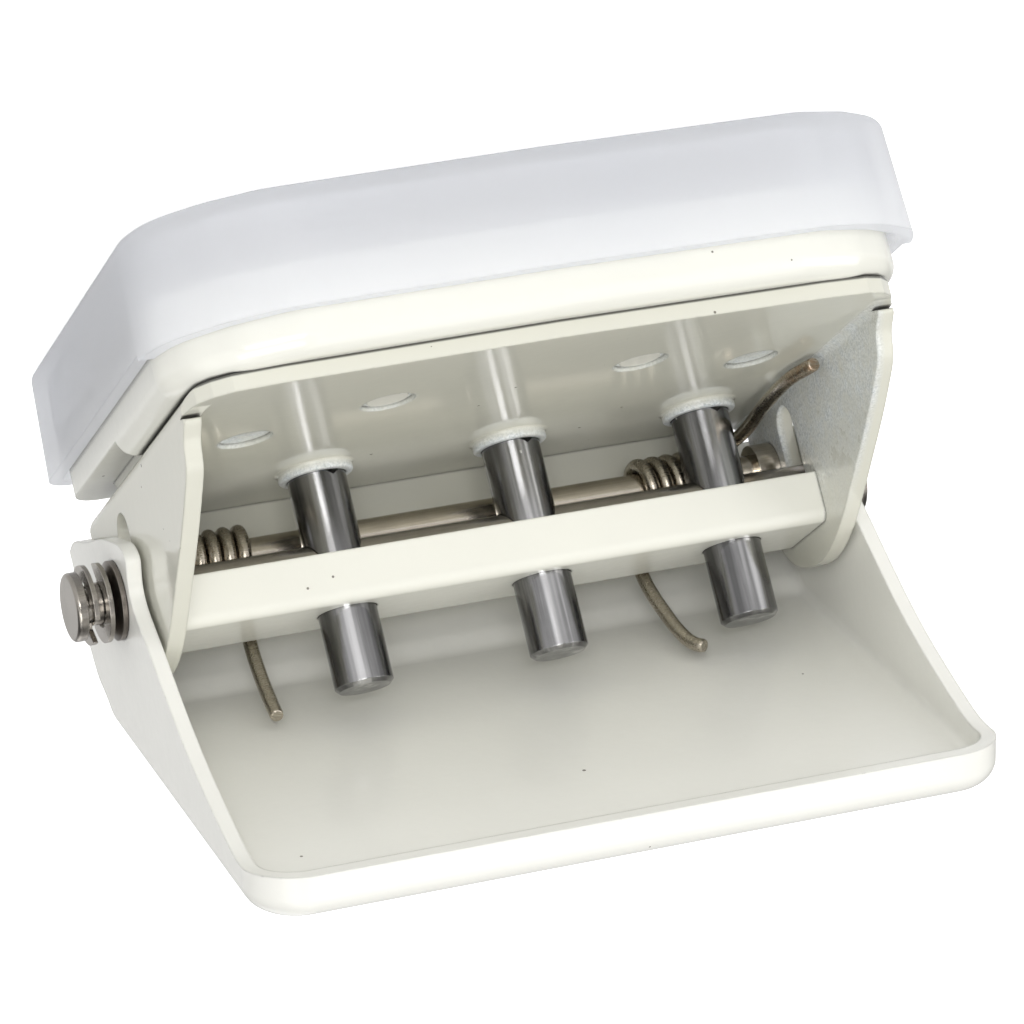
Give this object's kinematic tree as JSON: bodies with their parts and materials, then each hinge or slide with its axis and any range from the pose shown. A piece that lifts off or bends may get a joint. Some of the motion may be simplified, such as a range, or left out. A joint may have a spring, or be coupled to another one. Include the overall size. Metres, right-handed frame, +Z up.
{
  "type": "three hole punch",
  "caption": "Small lever hole punch for organiser pages: pressed-steel base and frame, guided punch pins, sprung pan-shaped lever and a translucent clip-on chip tray.",
  "frame": {"origin": "on the resting plane at mid-width, 13.5 mm in front of the row of pins", "axes": "+X to the right seen from the front, along the row of pins; -Y to the front, where the lever's lip stands; +Z up, along the pins"},
  "size_m": [0.0774, 0.0545, 0.0599],
  "materials": {
    "cream_paint": "gloss enamel, slightly textured, with fine dark specks",
    "frosted_plastic": "frosted, translucent",
    "pin_steel": "ground and oiled, dark",
    "nickel_plate": "warm nickel plate",
    "dark_steel": "dark tempered steel",
    "spring_wire": "drawn wire, nickel plated"
  },
  "bodies": {
    "frame": {"base_plate": "cream_paint", "punch_frame": "cream_paint", "guide_bar": "cream_paint", "frame_rivets": "cream_paint", "spring_rod": "nickel_plate", "spring_rod_bushes": "nickel_plate", "torsion_spring_left": "spring_wire", "torsion_spring_right": "spring_wire"},
    "axle_set": {"hinge_axle": "nickel_plate", "e_clip_inner_right": "nickel_plate", "e_clip_outer_right": "nickel_plate", "e_clip_left": "nickel_plate", "dished_washer_right": "dark_steel", "dished_washer_left": "dark_steel", "punch_pin_left": "pin_steel", "punch_pin_middle": "pin_steel", "punch_pin_right": "pin_steel"},
    "handle": {"handle": "cream_paint"},
    "chip_tray": {"chip_tray": "frosted_plastic"}
  },
  "joints": [
    {"name": "axle_slide", "type": "slide", "parent": "frame", "child": "axle_set", "axis": [0, 0, -1], "range_m": [0, 0.0039]},
    {"name": "handle_hinge", "type": "hinge", "parent": "axle_set", "child": "handle", "pos_m": [0, 0.0135, 0.0252], "axis": [1, 0, 0], "range_deg": [0, 37], "stiffness_Nm_per_rad": 0.06, "springref_deg": -34.38, "deforming": ["torsion_spring_left", "torsion_spring_right"]},
    {"name": "tray_release", "type": "slide", "parent": "frame", "child": "chip_tray", "axis": [0, 0, -1], "range_m": [0, 0.02]}
  ],
  "couplings": [
    {"joint": "axle_slide", "follows": "handle_hinge", "m_per_rad": 0.006039}
  ]
}
